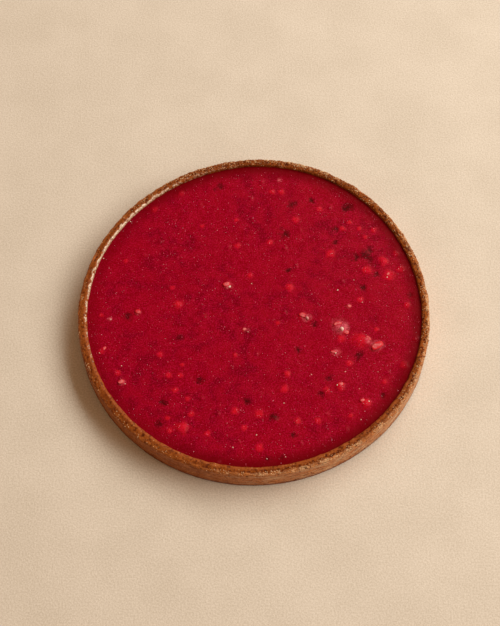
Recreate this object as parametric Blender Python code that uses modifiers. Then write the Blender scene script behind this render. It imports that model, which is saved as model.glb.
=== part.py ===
"""A pink praline tart: a straight-sided shortcrust shell with a hand-cut rim, filled almost to the top.

Units are metres and +Z is up. The origin is the centre of the flat base, so the tart stands on z = 0.
The shell is a turned cup whose rim and wall are then roughened. The filling is a turned disc with a
gently waved top, and the lumps of almond that stand proud of it are fused to it by one Boolean union.
"""

import math
import random

import bmesh
import bpy
from mathutils import Matrix, Vector, noise

MM = 0.001

# Driving dimensions of the shell
RIM_RADIUS = 120.5 * MM
HEIGHT = 20.0 * MM
DOUGH = 4.0 * MM
FOOT_ROUND = 1.0 * MM
RIM_ROUND = 2.0 * MM
FILLING_DROP = 2.5 * MM
SHOULDER_WIDTH = 2.2 * MM
FILLING_RADIUS = 114.7 * MM
WALL_DRAFT = 1.6 * MM
CORNER_ROUND = 2.0 * MM

# The inner shoulder first rises steeply, within this share of its width, and then gently
STEEP_RISE = 1.75 * MM
STEEP_SHARE = 0.09

# How far the hand-shaped shell is out of round, and where its inside sits in its outside
OVAL = 0.7 * MM
OVAL_TOWARDS = math.radians(45)
THREE_LOBED = 0.55 * MM
THREE_LOBED_TOWARDS = math.radians(75)
FOUR_LOBED = 0.3 * MM
FOUR_LOBED_TOWARDS = math.radians(-17)
INSIDE_SHIFT = Vector((0.4, 0.7, 0.0)) * MM

# Relief of the baked dough: how high each kind stands and how long its bumps are
ROLL_HEIGHT = 0.30 * MM
ROLL_LENGTH = 38.0 * MM
CRUMB_HEIGHT = 0.55 * MM
CRUMB_LENGTH = 4.5 * MM
CHIP_DEPTH = 1.6 * MM
CHIP_LENGTH = 9.0 * MM
CHIP_RARITY = 0.28
STREAK_DEPTH = 0.22 * MM
STREAK_LENGTH = 17.0 * MM
STREAK_HEIGHT = 4.0 * MM

# The filling
GAP = 0.3 * MM
MENISCUS_RISE = 0.15 * MM
MENISCUS_WIDTH = 1.5 * MM
WAVE_HEIGHT = 0.18 * MM
WAVE_LENGTH = 32.0 * MM
CALM_WIDTH = 12.0 * MM

# How finely the round shapes are divided
SHELL_STEPS = 192
FILLING_STEPS = 108
FILLING_RINGS = 9

# Lumps of almond that are seen to stand proud. Each is its place x and y, its length and width, its height
# above the filling, all in mm, and its turn in degrees.
PLAIN_LUMPS = (
    (-18, 19, 7, 6, 1.0, 0),
    (36, -4, 7, 5, 0.9, -20),
    (59, -13, 11, 8, 1.2, -15),
    (73, -22, 12, 8, 1.0, -5),
    (84, -26, 9, 5, 1.1, 30),
    (-48, -86, 9, 8, 1.1, 0),
    (57, -56, 7, 5, 0.9, 10),
    (74, -68, 7, 6, 0.9, 40),
    (-5, -15, 4, 4, 0.7, 0),
    (-80, -1, 4, 4, 0.7, 0),
    (-89, -53, 5, 4, 0.7, 50),
    (56, -31, 6, 4, 0.8, -10),
    (-53, 5, 6, 6, 0.5, 0),
    (90, 39, 6, 5, 0.6, 20),
    (24, 18, 6, 5, 0.5, 60),
    (13, -80, 7, 6, 0.6, -30),
    (77, 45, 9, 6, 0.5, 15),
)
MORE_LUMPS = 27
LUMP_SEED = 24
LUMP_LENGTHS = (3.0 * MM, 5.5 * MM)
LUMP_SLIMNESS = (0.7, 1.0)
LUMP_HEIGHTS = (0.35 * MM, 0.65 * MM)
LUMP_CLEARANCE = 12.0 * MM
LUMP_REACH = 0.93
LUMP_SINK = 1.6
LARGE_LUMP = 8.5 * MM


def clear_scene():
    """Remove everything that the file opened with."""
    for thing in list(bpy.data.objects):
        bpy.data.objects.remove(thing)


def make_collection(name):
    collection = bpy.data.collections.new(name)
    bpy.context.scene.collection.children.link(collection)
    return collection


def make_material(name, colour, roughness):
    material = bpy.data.materials.new(name)
    material.use_nodes = True
    shader = material.node_tree.nodes["Principled BSDF"]
    shader.inputs["Base Color"].default_value = (*colour, 1.0)
    shader.inputs["Roughness"].default_value = roughness
    shader.inputs["Metallic"].default_value = 0.0
    return material


def arc(centre, radius, start, end, steps=2):
    """Points on a circle in the (radius, height) plane, from start to end in degrees."""
    points = []
    for i in range(steps + 1):
        angle = math.radians(start + (end - start) * i / steps)
        points.append((centre[0] + radius * math.cos(angle), centre[1] + radius * math.sin(angle)))
    return points


def straight(start, end, steps):
    """The points strictly between two profile points."""
    return [tuple(a + (b - a) * i / steps for a, b in zip(start, end)) for i in range(1, steps)]


def turned(name, profile, steps, collection):
    """Turn a (radius, height) profile, given from the axis round the outside and back to the axis."""
    mesh = bpy.data.meshes.new(name)
    points = [(radius, 0.0, height) for radius, height in profile]
    mesh.from_pydata(points, [(i, i + 1) for i in range(len(points) - 1)], [])
    shape = bpy.data.objects.new(name, mesh)
    collection.objects.link(shape)
    screw = shape.modifiers.new("Turn", "SCREW")
    screw.axis = "Z"
    screw.angle = 2 * math.pi
    screw.steps = steps
    screw.render_steps = steps
    screw.use_merge_vertices = True
    screw.merge_threshold = 0.00001
    apply_modifiers(shape)
    return shape


def apply_modifiers(shape):
    """Keep the evaluated mesh and weld what a full turn leaves double."""
    bpy.context.view_layer.update()
    graph = bpy.context.evaluated_depsgraph_get()
    raw = shape.data
    shape.data = bpy.data.meshes.new_from_object(shape.evaluated_get(graph))
    shape.modifiers.clear()
    shape.data.name = shape.name
    bpy.data.meshes.remove(raw)
    work = bmesh.new()
    work.from_mesh(shape.data)
    bmesh.ops.remove_doubles(work, verts=work.verts, dist=0.01 * MM)
    work.to_mesh(shape.data)
    work.free()


def out_of_round(angle):
    """How far the wall lies outside a true circle in this direction."""
    return (
        OVAL * math.cos(2 * (angle - OVAL_TOWARDS))
        + THREE_LOBED * math.cos(3 * (angle - THREE_LOBED_TOWARDS))
        + FOUR_LOBED * math.cos(4 * (angle - FOUR_LOBED_TOWARDS))
    )


def hand_shaped(place, inside):
    """Move a point of the turned shape to the uneven wall. inside is 0 on the outer skin, 1 within."""
    flat = Vector((place.x, place.y, 0.0))
    reach = flat.length
    if reach < MM:
        return place.copy()
    outward = flat / reach
    share = min(reach / FILLING_RADIUS, 1.0)
    moved = outward * (out_of_round(math.atan2(place.y, place.x)) * share) + INSIDE_SHIFT * inside
    return place + moved


def bumps(place, length, layer):
    """Smooth noise between about -1 and 1, with bumps of this length. Each layer has its own pattern."""
    return noise.noise(place / length + Vector((layer, layer, layer)) * 7.3)


def rim_relief(place):
    """The rolling height of the knife cut, its crumb, and the chips that broke out of it."""
    roll = bumps(place, ROLL_LENGTH, 1) * ROLL_HEIGHT
    crumb = bumps(place, CRUMB_LENGTH, 2) * CRUMB_HEIGHT
    chip = max(0.0, bumps(place, CHIP_LENGTH, 3) - CHIP_RARITY) * CHIP_DEPTH
    return roll + crumb - chip


def wall_relief(place):
    """Low streaks that run round the wall, where the dough was pressed along the ring."""
    flattened = Vector((place.x / STREAK_LENGTH, place.y / STREAK_LENGTH, place.z / STREAK_HEIGHT))
    return bumps(flattened, 1.0, 4) * STREAK_DEPTH


def share_between(value, low, high):
    """0 at low and below, 1 at high and above."""
    return min(1.0, max(0.0, (value - low) / (high - low)))


def roughen_shell(shell):
    """Give the rim its crags, the outer wall its low streaks, and leave the base and the inside plain."""
    level = HEIGHT - FILLING_DROP
    lip_radius = FILLING_RADIUS + SHOULDER_WIDTH
    edge_radius = RIM_RADIUS - RIM_ROUND
    for vertex in shell.data.vertices:
        place = vertex.co.copy()
        reach = math.hypot(place.x, place.y)
        outward = Vector((place.x, place.y, 0.0)).normalized()
        moved = hand_shaped(place, 1.0 - share_between(reach, lip_radius, edge_radius))
        if place.z > level:
            height_share = share_between(place.z, level, HEIGHT)
            outer_share = share_between(reach, FILLING_RADIUS, RIM_RADIUS)
            moved.z += rim_relief(moved) * height_share
            moved += outward * bumps(moved, CRUMB_LENGTH, 5) * CRUMB_HEIGHT * outer_share
        elif reach > edge_radius and place.z > FOOT_ROUND:
            moved += outward * wall_relief(moved)
        vertex.co = moved


def shoulder_rise(share):
    """How far the shoulder has risen over the filling at this share of its width."""
    steep = STEEP_RISE * (1 - math.exp(-share / STEEP_SHARE))
    gentle = (FILLING_DROP - STEEP_RISE) * (1 - (1 - share) ** 1.5)
    return steep + gentle


def shell_profile():
    """From the middle of the inner floor, up the inside, over the rim, down the wall and under the base."""
    floor_radius = FILLING_RADIUS - WALL_DRAFT
    level = HEIGHT - FILLING_DROP
    inner_corner = arc((floor_radius - CORNER_ROUND, DOUGH + CORNER_ROUND), CORNER_ROUND, -90, -5)
    shoulder = []
    for share in (0.0, 0.1, 0.3, 0.65, 1.0):
        shoulder.append((FILLING_RADIUS + share * SHOULDER_WIDTH, level + shoulder_rise(share)))
    rim_edge = arc((RIM_RADIUS - RIM_ROUND, HEIGHT - RIM_ROUND), RIM_ROUND, 90, 10, 3)
    rim_top = straight(shoulder[-1], rim_edge[0], 2)
    foot = arc((RIM_RADIUS - FOOT_ROUND, FOOT_ROUND), FOOT_ROUND, 0, -90)
    wall = straight(rim_edge[-1], foot[0], 4)
    return [(0.0, DOUGH), *inner_corner, *shoulder, *rim_top, *rim_edge, *wall, *foot, (0.0, 0.0)]


def filling_profile():
    """From the middle of the top, out to the rise against the wall, down and back under."""
    edge = FILLING_RADIUS - GAP
    level = HEIGHT - FILLING_DROP
    flat = edge - MENISCUS_WIDTH
    top = [(flat * i / FILLING_RINGS, level) for i in range(FILLING_RINGS + 1)]
    rise = [(flat + MENISCUS_WIDTH * s, level + MENISCUS_RISE * s**2) for s in (0.5, 1.0)]
    floor = DOUGH + GAP
    corner_radius = edge - WALL_DRAFT - CORNER_ROUND
    corner = arc((corner_radius, floor + CORNER_ROUND), CORNER_ROUND, -5, -90)
    return [*top, *rise, *corner, (0.0, floor)]


def wave_height(place):
    """The slow roll of a thick filling that has set, dying out where it meets the wall."""
    flat = Vector((place.x, place.y, 0.0))
    share = share_between(FILLING_RADIUS - flat.length, 0.0, CALM_WIDTH)
    return bumps(flat, WAVE_LENGTH, 6) * WAVE_HEIGHT * share


def settle_filling(filling):
    """Fit the turned disc to the uneven shell, and give its top the slow roll."""
    middle = (HEIGHT - FILLING_DROP) / 2
    for vertex in filling.data.vertices:
        place = vertex.co.copy()
        moved = hand_shaped(place, math.hypot(place.x, place.y) / FILLING_RADIUS)
        if place.z > middle:
            moved.z += wave_height(moved)
        vertex.co = moved


def almond_lumps():
    """The lumps that were placed by eye, then smaller ones scattered evenly in the room between them."""
    chance = random.Random(LUMP_SEED)
    lumps = [(*(size * MM for size in sizes), turn) for *sizes, turn in PLAIN_LUMPS]
    while len(lumps) < len(PLAIN_LUMPS) + MORE_LUMPS:
        reach = FILLING_RADIUS * LUMP_REACH * math.sqrt(chance.random())
        angle = chance.uniform(0, 2 * math.pi)
        x = reach * math.cos(angle)
        y = reach * math.sin(angle)
        length = chance.uniform(*LUMP_LENGTHS)
        width = length * chance.uniform(*LUMP_SLIMNESS)
        height = chance.uniform(*LUMP_HEIGHTS)
        turn = chance.uniform(0, 180)
        if all(math.hypot(x - lump[0], y - lump[1]) > LUMP_CLEARANCE for lump in lumps):
            lumps.append((x, y, length, width, height, turn))
    return lumps


def make_lump(index, lump, collection):
    """A rounded lump with its middle sunk in the filling and its top standing its height above it."""
    x, y, length, width, height, turn = lump
    level = HEIGHT - FILLING_DROP + wave_height(Vector((x, y, 0.0)))
    depth = height * (1 + LUMP_SINK)
    mesh = bpy.data.meshes.new(f"lump_{index:02d}")
    work = bmesh.new()
    bmesh.ops.create_icosphere(work, subdivisions=3 if length > LARGE_LUMP else 2, radius=1.0)
    # The sunk middle makes the waterline narrower than the lump, so the lump is widened to suit.
    waterline = math.sqrt(1 - (LUMP_SINK / (1 + LUMP_SINK)) ** 2)
    size = Vector((length / 2 / waterline, width / 2 / waterline, depth))
    bmesh.ops.scale(work, verts=work.verts, vec=size)
    bmesh.ops.rotate(work, verts=work.verts, matrix=Matrix.Rotation(math.radians(turn), 3, "Z"))
    bmesh.ops.translate(work, verts=work.verts, vec=(x, y, level + height - depth))
    work.to_mesh(mesh)
    work.free()
    piece = bpy.data.objects.new(mesh.name, mesh)
    collection.objects.link(piece)
    return piece


def fuse(body, collection):
    """Join every lump of the collection to the body, then remove the lumps."""
    union = body.modifiers.new("Fuse", "BOOLEAN")
    union.operation = "UNION"
    union.operand_type = "COLLECTION"
    union.collection = collection
    union.solver = "EXACT"
    apply_modifiers(body)
    for piece in list(collection.objects):
        bpy.data.objects.remove(piece)
    bpy.data.collections.remove(collection)


def finish(shape, material, sharp_degrees):
    shape.data.materials.clear()
    shape.data.materials.append(material)
    shape.data.shade_smooth()
    shape.data.set_sharp_from_angle(angle=math.radians(sharp_degrees))


def build():
    clear_scene()
    tart = make_collection("praline_tart")
    lumps = make_collection("lumps")

    shell = turned("crust", shell_profile(), SHELL_STEPS, tart)
    roughen_shell(shell)
    finish(shell, make_material("baked_dough", (0.30, 0.105, 0.030), 0.62), 55)

    filling = turned("praline_filling", filling_profile(), FILLING_STEPS, tart)
    settle_filling(filling)
    for index, lump in enumerate(almond_lumps()):
        make_lump(index, lump, lumps)
    fuse(filling, lumps)
    finish(filling, make_material("praline_cream", (0.33, 0.004, 0.014), 0.28), 50)


build()
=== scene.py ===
# %% [markdown]
# A pink praline tart is made of two things. The shell is shortcrust dough, lined into a straight ring,
# trimmed with a knife and baked. The filling is cream that was boiled with crushed pink pralines, until it
# set to a crimson toffee with bits of sugared almond in it.
#
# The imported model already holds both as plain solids, at their real size. This lesson dresses them. It sets
# the camera and the light first, and then models a finer shell and a finer filling over the solids.

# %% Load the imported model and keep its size
import math
import random

import bmesh
import bpy
from mathutils import Matrix, Vector, kdtree, noise


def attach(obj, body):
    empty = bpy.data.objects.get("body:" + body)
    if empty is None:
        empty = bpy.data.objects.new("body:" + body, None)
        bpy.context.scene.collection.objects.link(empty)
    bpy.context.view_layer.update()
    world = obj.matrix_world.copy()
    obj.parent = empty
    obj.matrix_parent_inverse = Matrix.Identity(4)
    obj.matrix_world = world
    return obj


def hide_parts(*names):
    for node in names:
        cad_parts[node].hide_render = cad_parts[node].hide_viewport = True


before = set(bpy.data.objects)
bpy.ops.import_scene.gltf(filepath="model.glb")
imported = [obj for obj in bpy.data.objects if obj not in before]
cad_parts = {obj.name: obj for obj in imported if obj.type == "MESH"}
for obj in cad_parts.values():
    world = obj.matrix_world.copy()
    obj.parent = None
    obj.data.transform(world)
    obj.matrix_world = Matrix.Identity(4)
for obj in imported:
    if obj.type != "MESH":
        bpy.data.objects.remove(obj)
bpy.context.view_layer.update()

MM = 0.001

# %% [markdown]
# Every later step hangs on a few sizes of the real tart: a shell 24 cm across and 2 cm high, with dough
# about 4 mm thick, filled to 2.5 mm below its rim. They could be read from the solids, but the relief on
# those blurs them. So they are named here once, with the values that the solids were drawn from.

# %% Sizes of the tart
RIM_RADIUS = 120.5 * MM
HEIGHT = 20.0 * MM
DOUGH = 4.0 * MM
FOOT_ROUND = 1.0 * MM
RIM_ROUND = 2.0 * MM
FILLING_DROP = 2.5 * MM
SHOULDER_WIDTH = 2.2 * MM
FILLING_RADIUS = 114.7 * MM
WALL_DRAFT = 1.6 * MM
CORNER_ROUND = 2.0 * MM

LEVEL = HEIGHT - FILLING_DROP
LIP_RADIUS = FILLING_RADIUS + SHOULDER_WIDTH
EDGE_RADIUS = RIM_RADIUS - RIM_ROUND
FLOOR_RADIUS = FILLING_RADIUS - WALL_DRAFT
print("the filling stands", round(LEVEL / MM, 1), "mm above the table")

# %% [markdown]
# The camera looks down steeply, from straight in front, through a long lens that hardly bends the circle.
# Its place comes from the ellipse that the rim draws in the picture: the squash of the ellipse gives the
# angle, and the slight widening of the near half gives the distance. It could be aimed with a Track To
# constraint, but three axes make it exact, and two very small turns put the tart where the picture has it.

# %% Camera
LENS = 85.0
SENSOR = 36.0
CAMERA_ELEVATION = math.radians(63.81)
CAMERA_DISTANCE = 1.013
CAMERA_PAN = math.radians(0.17)
CAMERA_TILT = math.radians(-0.13)
FAR_END_OF_VIEW = 50.0

rim_centre = Vector((0.0, 0.0, HEIGHT))
right = Vector((1.0, 0.0, 0.0))
back = Vector((0.0, -math.cos(CAMERA_ELEVATION), math.sin(CAMERA_ELEVATION)))
up = back.cross(right)
axes = Matrix((right, up, back)).transposed()
pan = Matrix.Rotation(CAMERA_PAN, 3, up)
tilt = Matrix.Rotation(CAMERA_TILT, 3, pan @ right)

camera = bpy.data.objects.new("camera", bpy.data.cameras.new("camera"))
camera.data.lens = LENS
camera.data.sensor_width = SENSOR
camera.data.clip_end = FAR_END_OF_VIEW
camera.matrix_world = Matrix.Translation(rim_centre + back * CAMERA_DISTANCE) @ (tilt @ pan @ axes).to_4x4()
bpy.context.scene.collection.objects.link(camera)
bpy.context.scene.camera = camera
bpy.context.scene.view_settings.view_transform = "Standard"
print("camera at", [round(value, 3) for value in camera.location])

# %% [markdown]
# One large soft lamp, as wide as a window, stands on the right and a little behind the tart, about halfway
# up. The soft shadow on the left, the dark strip inside the right rim and the bright shoulder inside the left
# rim all point back to it. A sun lamp would light both sides of the floor alike, but here the floor fades to
# the left, so it is an area lamp at a real distance.

# %% Lamp
KEY_AZIMUTH = math.radians(22)
KEY_ELEVATION = math.radians(47)
KEY_DISTANCE = 2.2
KEY_WIDTH = 3.8
KEY_HEIGHT = 1.2
KEY_POWER = 63.5
KEY_COLOUR = (1.0, 0.93, 0.80)

toward_key = Vector((
    math.cos(KEY_ELEVATION) * math.cos(KEY_AZIMUTH),
    math.cos(KEY_ELEVATION) * math.sin(KEY_AZIMUTH),
    math.sin(KEY_ELEVATION),
))
key = bpy.data.objects.new("key", bpy.data.lights.new("key", "AREA"))
key.data.shape = "RECTANGLE"
key.data.size = KEY_WIDTH
key.data.size_y = KEY_HEIGHT
key.data.energy = KEY_POWER
key.data.color = KEY_COLOUR
key.matrix_world = (
    Matrix.Translation(rim_centre + toward_key * KEY_DISTANCE)
    @ toward_key.to_track_quat("Z", "Y").to_matrix().to_4x4()
)
key.visible_camera = False
bpy.context.scene.collection.objects.link(key)

print("lamp at", [round(value, 2) for value in key.location])

# %% [markdown]
# Materials here are node trees, and wiring them takes the same few moves again and again: add a node, feed
# its sockets, multiply, remap, mix two colours. Clicking them together in the Shader Editor gives the same
# trees. In a script, a handful of short helpers keeps each material readable as a recipe: layers of colour,
# each with the share in which it covers the ones before.

# %% Helpers for wiring nodes
def plug(tree, value, socket):
    """Feed a socket with another node's output, or with a plain value."""
    if isinstance(value, bpy.types.NodeSocket):
        tree.links.new(value, socket)
    else:
        socket.default_value = value


def plug_all(tree, sockets, node):
    """Feed several sockets of one node, each given by its name or its number."""
    for name, value in sockets.items():
        plug(tree, value, node.inputs[name])


def add_node(tree, kind, sockets=None, **options):
    made = tree.nodes.new(kind)
    for name, value in options.items():
        setattr(made, name, value)
    plug_all(tree, sockets or {}, made)
    return made


def combine(tree, operation, first, second):
    made = add_node(tree, "ShaderNodeMath", operation=operation)
    plug_all(tree, {0: first, 1: second}, made)
    return made.outputs[0]


def product(tree, first, second):
    return combine(tree, "MULTIPLY", first, second)


def remap(tree, value, low, high, new_low=0.0, new_high=1.0):
    """Smoothly carry the range low to high onto the range new_low to new_high."""
    sockets = {"Value": value, "From Min": low, "From Max": high, "To Min": new_low, "To Max": new_high}
    return add_node(tree, "ShaderNodeMapRange", sockets, interpolation_type="SMOOTHSTEP").outputs[0]


def layered(tree, colour, *layers):
    """Lay colours over one another. Each layer is its share, from 0 to 1, and its colour."""
    for share, over in layers:
        made = add_node(tree, "ShaderNodeMix", data_type="RGBA")
        plug_all(tree, {0: share, 6: colour, 7: over}, made)
        colour = made.outputs[2]
    return colour


def attribute(tree, name):
    return add_node(tree, "ShaderNodeAttribute", attribute_name=name).outputs["Fac"]


def new_material(name):
    """A new material, its tree, its Principled shader, and the place on the object in metres."""
    material = bpy.data.materials.new(name)
    material.use_nodes = True
    tree = material.node_tree
    place = add_node(tree, "ShaderNodeTexCoord").outputs["Object"]
    return material, tree, tree.nodes["Principled BSDF"], place


# %% [markdown]
# The room's own light is warm, dim and almost even, a touch stronger from low down, where walls and table
# tops send it back. It fills the shadow on the left, and being dim it leaves the filling deep crimson, since
# a glossy surface mirrors whatever hangs over it. A plain world colour could do that, but it would also be
# the backdrop. So the world is a short node tree: the camera sees a pale backdrop, the tart sees the room.

# %% Room light
ROOM_LOW = (0.290, 0.171, 0.088, 1.0)
ROOM_HIGH = (0.270, 0.160, 0.083, 1.0)
ROOM_LOW_UNTIL = 0.57
ROOM_HIGH_FROM = 0.85
BACKDROP = (0.70, 0.60, 0.47, 1.0)


def make_room():
    room = bpy.data.worlds.new("room")
    room.use_nodes = True
    tree = room.node_tree
    tree.nodes.clear()
    direction = add_node(tree, "ShaderNodeTexCoord").outputs["Generated"]
    height = add_node(tree, "ShaderNodeSeparateXYZ", {"Vector": direction}).outputs["Z"]
    climb = remap(tree, height, ROOM_LOW_UNTIL, ROOM_HIGH_FROM)
    seen = add_node(tree, "ShaderNodeLightPath").outputs["Is Camera Ray"]
    light = layered(tree, ROOM_LOW, (climb, ROOM_HIGH), (seen, BACKDROP))
    shown = add_node(tree, "ShaderNodeBackground", {"Color": light})
    add_node(tree, "ShaderNodeOutputWorld", {"Surface": shown.outputs[0]})
    return room


bpy.context.scene.world = make_room()
print("the room's light changes between", round(math.degrees(math.asin(ROOM_LOW_UNTIL))), "and",
      round(math.degrees(math.asin(ROOM_HIGH_FROM))), "degrees above the table")

# %% [markdown]
# Dough, toffee and table all share three effects: a tone that drifts from place to place, small dots that
# are scattered without order, and a fine grain that the light catches. Each is built once as a node group
# with named sockets, and every material sets its own sizes. A Noise texture gives the drift and the grain.
# Voronoi cells give the dots: each cell draws a dot round its centre, or stays empty by its random colour.

# %% Shared effects as node groups
CLOUD_MIDDLE = 0.5
CLOUD_REACH = 0.31
FIRM_DOT = 0.45


def new_group(name, inputs, outputs):
    """A node group with named sockets; sizes are in metres. Returns it with its inner ends."""
    group = bpy.data.node_groups.new(name, "ShaderNodeTree")
    for label, kind, value in inputs:
        socket = group.interface.new_socket(label, in_out="INPUT", socket_type=kind)
        if value is not None:
            socket.default_value = value
    for label in outputs:
        group.interface.new_socket(label, in_out="OUTPUT", socket_type="NodeSocketFloat")
    inward = group.nodes.new("NodeGroupInput").outputs
    outward = group.nodes.new("NodeGroupOutput").inputs
    return group, inward, outward


def make_uneven_tone():
    inputs = (
        ("Place", "NodeSocketVector", None),
        ("Size", "NodeSocketFloat", 10 * MM),
        ("Detail", "NodeSocketFloat", 2.0),
        ("Softness", "NodeSocketFloat", 0.35),
    )
    group, inward, outward = new_group("Uneven tone", inputs, ("Tone",))
    scale = combine(group, "DIVIDE", 1.0, inward["Size"])
    sockets = {"Vector": inward["Place"], "Scale": scale, "Detail": inward["Detail"], "Roughness": 0.55}
    cloud = add_node(group, "ShaderNodeTexNoise", sockets).outputs[0]
    half = product(group, combine(group, "SUBTRACT", 2 * CLOUD_REACH, inward["Softness"]), 0.5)
    low = combine(group, "ADD", half, CLOUD_MIDDLE - CLOUD_REACH)
    high = combine(group, "SUBTRACT", CLOUD_MIDDLE + CLOUD_REACH, half)
    plug(group, remap(group, cloud, low, high), outward["Tone"])
    return group


def make_scattered_dots():
    inputs = (
        ("Place", "NodeSocketVector", None),
        ("Spacing", "NodeSocketFloat", 2 * MM),
        ("Share", "NodeSocketFloat", 0.3),
        ("Dot", "NodeSocketFloat", 0.35),
    )
    group, inward, outward = new_group("Scattered dots", inputs, ("Mask",))
    scale = combine(group, "DIVIDE", 1.0, inward["Spacing"])
    cells = add_node(group, "ShaderNodeTexVoronoi", {"Vector": inward["Place"], "Scale": scale})
    inner = product(group, inward["Dot"], FIRM_DOT)
    dot = remap(group, cells.outputs["Distance"], inward["Dot"], inner)
    lottery = add_node(group, "ShaderNodeSeparateColor", {"Color": cells.outputs["Color"]}).outputs[0]
    drawn = combine(group, "LESS_THAN", lottery, inward["Share"])
    plug(group, product(group, dot, drawn), outward["Mask"])
    return group


def make_fine_grain():
    inputs = (("Place", "NodeSocketVector", None), ("Size", "NodeSocketFloat", 1 * MM))
    group, inward, outward = new_group("Fine grain", inputs, ("Height",))
    scale = combine(group, "DIVIDE", 1.0, inward["Size"])
    sockets = {"Vector": inward["Place"], "Scale": scale, "Detail": 3.0, "Roughness": 0.6}
    plug(group, add_node(group, "ShaderNodeTexNoise", sockets).outputs[0], outward["Height"])
    return group


EFFECTS = {"tone": make_uneven_tone(), "dots": make_scattered_dots(), "grain": make_fine_grain()}


def effect(tree, name, **sockets):
    """Place a shared effect in a material and return its one output."""
    return add_node(tree, "ShaderNodeGroup", sockets, node_tree=EFFECTS[name]).outputs[0]


def tone(tree, place, size, detail, softness):
    """A tone between 0 and 1 that drifts over this length."""
    return effect(tree, "tone", Place=place, Size=size, Detail=detail, Softness=softness)


def grain_normal(tree, height, depth):
    """Let a height pattern catch the light; depth is how deep it is."""
    sockets = {"Height": height, "Distance": depth, "Strength": 1.0}
    return add_node(tree, "ShaderNodeBump", sockets).outputs["Normal"]


print("node groups:", ", ".join(group.name for group in EFFECTS.values()))

# %% [markdown]
# The table is a plain matt surface of pale plaster. It isn't part of the tart. A grid of one face is enough,
# because its slight clouding and its grain are all in the material.

# %% The table
TABLE_SIZE = 30.0
PLASTER_LIGHT = (0.900, 0.848, 0.788, 1.0)
PLASTER_DARK = (0.712, 0.658, 0.586, 1.0)


def make_plaster():
    material, tree, shader, place = new_material("pale_plaster")
    clouds = tone(tree, place, 45 * MM, 5.0, 0.42)
    stipple = tone(tree, place, 1.1 * MM, 2.0, 0.35)
    cloudy = layered(tree, clouds, (0.7, stipple))
    plug_all(tree, {
        "Base Color": layered(tree, PLASTER_DARK, (cloudy, PLASTER_LIGHT)),
        "Roughness": 0.9,
        "Specular IOR Level": 0.1,
        "Normal": grain_normal(tree, effect(tree, "grain", Place=place, Size=1.5 * MM), 0.23 * MM),
    }, shader)
    return material


table_work = bmesh.new()
bmesh.ops.create_grid(table_work, x_segments=1, y_segments=1, size=TABLE_SIZE / 2)
table = bpy.data.objects.new("table", bpy.data.meshes.new("table"))
table_work.to_mesh(table.data)
table_work.free()
table.data.materials.append(make_plaster())
bpy.context.scene.collection.objects.link(table)
print("table", TABLE_SIZE, "m wide")

# %% [markdown]
# Nothing made by hand is perfectly round. The solids bend their circle with three slow waves, and set the
# inside a little off centre, so that the rim is thicker on one side. The finer shell and filling must bend
# the same way, or they wouldn't fit over them. These helpers repeat that rule, and the noise that the solids
# use for their relief, because a shared rule is surer than measuring the solids.

# %% The hand-shaped circle and the shared noise
OVAL = 0.7 * MM
OVAL_TOWARDS = math.radians(45)
THREE_LOBED = 0.55 * MM
THREE_LOBED_TOWARDS = math.radians(75)
FOUR_LOBED = 0.3 * MM
FOUR_LOBED_TOWARDS = math.radians(-17)
INSIDE_SHIFT = Vector((0.4, 0.7, 0.0)) * MM
LAYER_STEP = 7.3


def out_of_round(angle):
    """How far the wall lies outside a true circle in this direction."""
    return (
        OVAL * math.cos(2 * (angle - OVAL_TOWARDS))
        + THREE_LOBED * math.cos(3 * (angle - THREE_LOBED_TOWARDS))
        + FOUR_LOBED * math.cos(4 * (angle - FOUR_LOBED_TOWARDS))
    )


def hand_shaped(place, inside):
    """Move a point of the turned shape to the uneven wall; inside is 0 on the outer skin, 1 within."""
    flat = Vector((place.x, place.y, 0.0))
    reach = flat.length
    if reach < MM:
        return place.copy()
    outward = flat / reach
    share = min(reach / FILLING_RADIUS, 1.0)
    moved = outward * (out_of_round(math.atan2(place.y, place.x)) * share) + INSIDE_SHIFT * inside
    return place + moved


def bumps(place, length, layer):
    """Smooth noise between about -1 and 1, with bumps of this length. Each layer has its own pattern."""
    return noise.noise(place / length + Vector((layer, layer, layer)) * LAYER_STEP)


def share_between(value, low, high):
    """0 at low and below, 1 at high and above."""
    return min(1.0, max(0.0, (value - low) / (high - low)))


def towards(place, direction, low, high):
    """1 on the side that lies in this direction, 0 opposite; it sets in between two cosines."""
    return share_between(math.cos(math.atan2(place.y, place.x) - direction), low, high)


widest = max(out_of_round(math.radians(degree)) for degree in range(360))
print("the wall swings out by up to", round(widest / MM, 2), "mm")

# %% [markdown]
# The shell is round all the way, so it follows from its section: up the inside, over the shoulder that the
# toffee clings to, across the knife cut, round the edge, down the wall and under the foot. A spin would turn
# it, but a spin lists its faces in another order on every run, and whatever is scattered on them later would
# move about. So a flat grid is bent round instead: each of its rows becomes a ring, and the doubled points
# where the rings close, and at the two ends of the section, are merged.

# %% Bend a grid round the shell's section
RIM_STEP = 0.35 * MM
WALL_STEP = 0.6 * MM
COLUMNS = 1440
SHOULDER_ROWS = 10
STEEP_RISE = 1.75 * MM
STEEP_SHARE = 0.09
GENTLE_CURVE = 1.5


def arc(centre, radius, start, end, steps):
    """Points on a circle in the (radius, height) plane, from start to end in degrees."""
    angles = [math.radians(start + (end - start) * i / steps) for i in range(steps + 1)]
    return [(centre[0] + radius * math.cos(a), centre[1] + radius * math.sin(a)) for a in angles]


def shoulder_rise(share):
    """How far the shoulder has risen over the filling at this share of its width: fast first, then gently."""
    steep = STEEP_RISE * (1 - math.exp(-share / STEEP_SHARE))
    gentle = (FILLING_DROP - STEEP_RISE) * (1 - (1 - share) ** GENTLE_CURVE)
    return steep + gentle


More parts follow.
